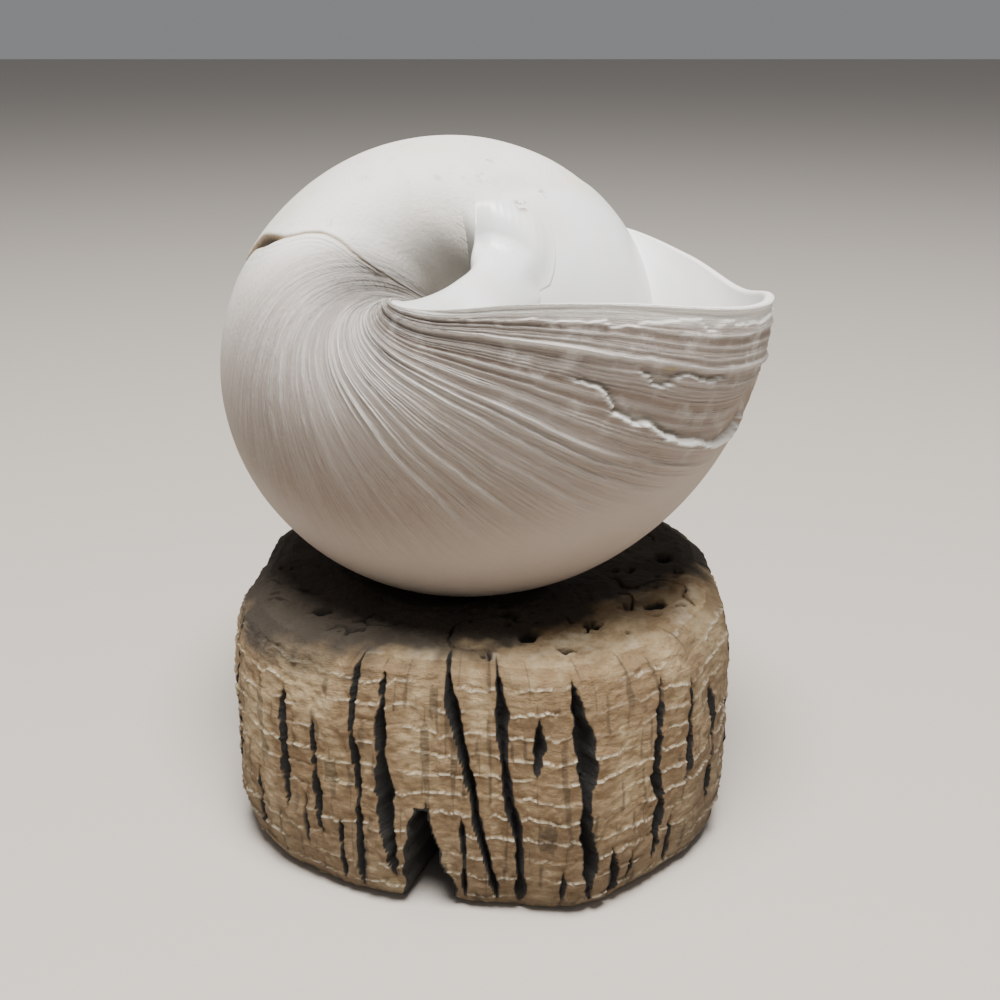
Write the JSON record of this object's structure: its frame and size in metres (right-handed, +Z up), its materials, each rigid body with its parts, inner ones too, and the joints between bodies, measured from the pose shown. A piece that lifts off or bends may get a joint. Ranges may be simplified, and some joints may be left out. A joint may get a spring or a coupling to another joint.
{
  "type": "moon snail shell on cork stand",
  "caption": "Worn moon snail shell with a wide open mouth, resting on its side on a block of weathered cork.",
  "frame": {"origin": "middle of the stand's flat underside", "axes": "+Z up, -Y towards the front, where the shell's base and mouth show, +X towards the lip"},
  "size_m": [0.0847, 0.0808, 0.1063],
  "materials": {
    "chalk_white": "worn shell: cream white, chalky on its outside, satin on the callus and inside the mouth",
    "weathered_cork": "dry weathered cork: rough, with growth bands and dark channels"
  },
  "bodies": {
    "root": {"shell": "chalk_white", "stand": "weathered_cork"}
  },
  "joints": []
}
